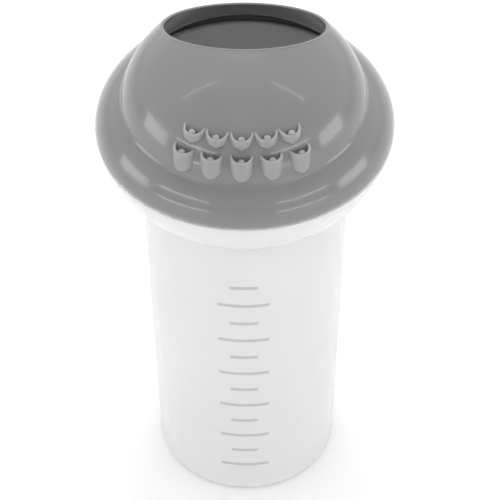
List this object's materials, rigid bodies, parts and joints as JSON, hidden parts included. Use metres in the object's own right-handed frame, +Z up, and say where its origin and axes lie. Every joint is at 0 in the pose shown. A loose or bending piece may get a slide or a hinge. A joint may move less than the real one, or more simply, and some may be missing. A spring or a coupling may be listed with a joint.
{
  "type": "lidded rinse cup",
  "caption": "Tall white rinse cup with a bowl-shaped rim and a grey domed lid with a pour opening and spout nozzles.",
  "frame": {"origin": "centre of the base, on the surface that the cup stands on", "axes": "+Z up the cup's axis, -Y towards the spout nozzles, +X to the right as seen from the nozzles' side"},
  "size_m": [0.1, 0.1, 0.2022],
  "materials": {
    "cup_white": "smooth moulded, slightly milky",
    "lid_grey": "glossy moulded",
    "seal_clear": "soft translucent silicone"
  },
  "bodies": {
    "cup": {"cup": "cup_white"},
    "seal": {"lid_seal": "seal_clear"},
    "lid": {"lid": "lid_grey"}
  },
  "joints": [
    {"name": "lid_turn", "type": "hinge", "parent": "cup", "child": "seal", "pos_m": [0, 0, 0.157], "axis": [0, 0, 1], "continuous": true},
    {"name": "lid_lift", "type": "slide", "parent": "seal", "child": "lid", "axis": [0, 0, 1], "range_m": [0, 0.06]}
  ]
}
